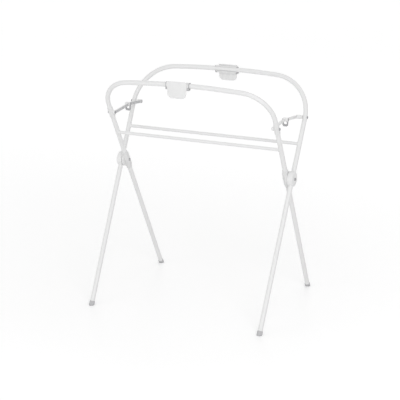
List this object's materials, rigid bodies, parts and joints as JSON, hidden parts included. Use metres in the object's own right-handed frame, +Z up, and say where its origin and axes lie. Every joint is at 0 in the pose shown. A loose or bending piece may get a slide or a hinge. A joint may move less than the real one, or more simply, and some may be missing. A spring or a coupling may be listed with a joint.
{
  "type": "baby bath stand",
  "caption": "Folding X-frame stand for a baby bath: crossed bent tube frames on side hubs, crossbars, folding side stays and bath clips on the top bars.",
  "frame": {"origin": "on the floor, under the middle of the hub axis, at the centre of the four feet", "axes": "+X along the top bars to the right seen from the front, +Y from front to back, +Z up"},
  "size_m": [0.8216, 0.6384, 0.9768],
  "materials": {
    "white_painted_tube": "gloss white powder coat",
    "hub_sleeve_plastic": "light grey moulded plastic, satin",
    "hub_plastic": "white moulded plastic, semi-gloss",
    "clamp_plastic": "white moulded plastic",
    "clip_plastic": "white moulded plastic, satin",
    "clip_jaw_plastic": "pale grey moulded plastic",
    "stay_plastic": "grey moulded plastic",
    "washer_plastic": "dark grey nylon",
    "foot_cap_grey": "grey rubbery plastic",
    "fastener_steel": "zinc-plated steel"
  },
  "bodies": {
    "inner_frame": {"inner_frame_tube": "white_painted_tube", "inner_crossbar": "white_painted_tube", "inner_foot_left": "foot_cap_grey", "inner_foot_right": "foot_cap_grey", "inner_hub_left": "hub_sleeve_plastic", "inner_hub_right": "hub_sleeve_plastic", "hub_washers": "washer_plastic", "pivot_bolts": "fastener_steel", "pivot_nuts": "fastener_steel", "stay_clamp_left": "clamp_plastic", "stay_clamp_right": "clamp_plastic", "front_stay_bolts": "fastener_steel", "front_stay_nuts": "fastener_steel"},
    "outer_frame": {"outer_frame_tube": "white_painted_tube", "outer_crossbar": "white_painted_tube", "outer_foot_left": "foot_cap_grey", "outer_foot_right": "foot_cap_grey", "outer_hub_left": "hub_plastic", "outer_hub_right": "hub_plastic", "stay_spacer_left": "stay_plastic", "stay_spacer_right": "stay_plastic", "rear_stay_bolts": "fastener_steel"},
    "front_link_left": {"front_link_left": "stay_plastic", "knuckle_pin_left": "fastener_steel"},
    "front_link_right": {"front_link_right": "stay_plastic", "knuckle_pin_right": "fastener_steel"},
    "rear_link_left": {"rear_link_left": "stay_plastic"},
    "rear_link_right": {"rear_link_right": "stay_plastic"},
    "front_clip": {"front_clip_plate": "clip_plastic", "front_clip_jaw": "clip_jaw_plastic"},
    "rear_clip": {"rear_clip_plate": "clip_plastic", "rear_clip_jaw": "clip_jaw_plastic"}
  },
  "joints": [
    {"name": "fold", "type": "hinge", "parent": "inner_frame", "child": "outer_frame", "pos_m": [0, 0, 0.5706], "axis": [1, 0, 0], "range_deg": [0, 44]},
    {"name": "front_link_turn_left", "type": "hinge", "parent": "inner_frame", "child": "front_link_left", "pos_m": [0, -0.12428, 0.80238], "axis": [1, 0, 0], "range_deg": [0, 94]},
    {"name": "knuckle_turn_left", "type": "hinge", "parent": "front_link_left", "child": "rear_link_left", "pos_m": [0, 0, 0.81438], "axis": [1, 0, 0], "range_deg": [-143, 0]},
    {"name": "front_link_turn_right", "type": "hinge", "parent": "inner_frame", "child": "front_link_right", "pos_m": [0, -0.12428, 0.80238], "axis": [1, 0, 0], "range_deg": [0, 94]},
    {"name": "knuckle_turn_right", "type": "hinge", "parent": "front_link_right", "child": "rear_link_right", "pos_m": [0, 0, 0.81438], "axis": [1, 0, 0], "range_deg": [-143, 0]},
    {"name": "front_clip_turn", "type": "hinge", "parent": "inner_frame", "child": "front_clip", "pos_m": [-0.017, -0.20866, 0.95975], "axis": [-1, 0, 0], "range_deg": [-30, 90]},
    {"name": "rear_clip_turn", "type": "hinge", "parent": "outer_frame", "child": "rear_clip", "pos_m": [0.007, 0.20871, 0.95983], "axis": [1, 0, 0], "range_deg": [-30, 90]}
  ],
  "couplings": [
    {"joint": "front_link_turn_left", "follows": "fold", "ratio": 2.1213},
    {"joint": "knuckle_turn_left", "follows": "fold", "ratio": -3.2425},
    {"joint": "front_link_turn_right", "follows": "fold", "ratio": 2.1213},
    {"joint": "knuckle_turn_right", "follows": "fold", "ratio": -3.2425}
  ]
}
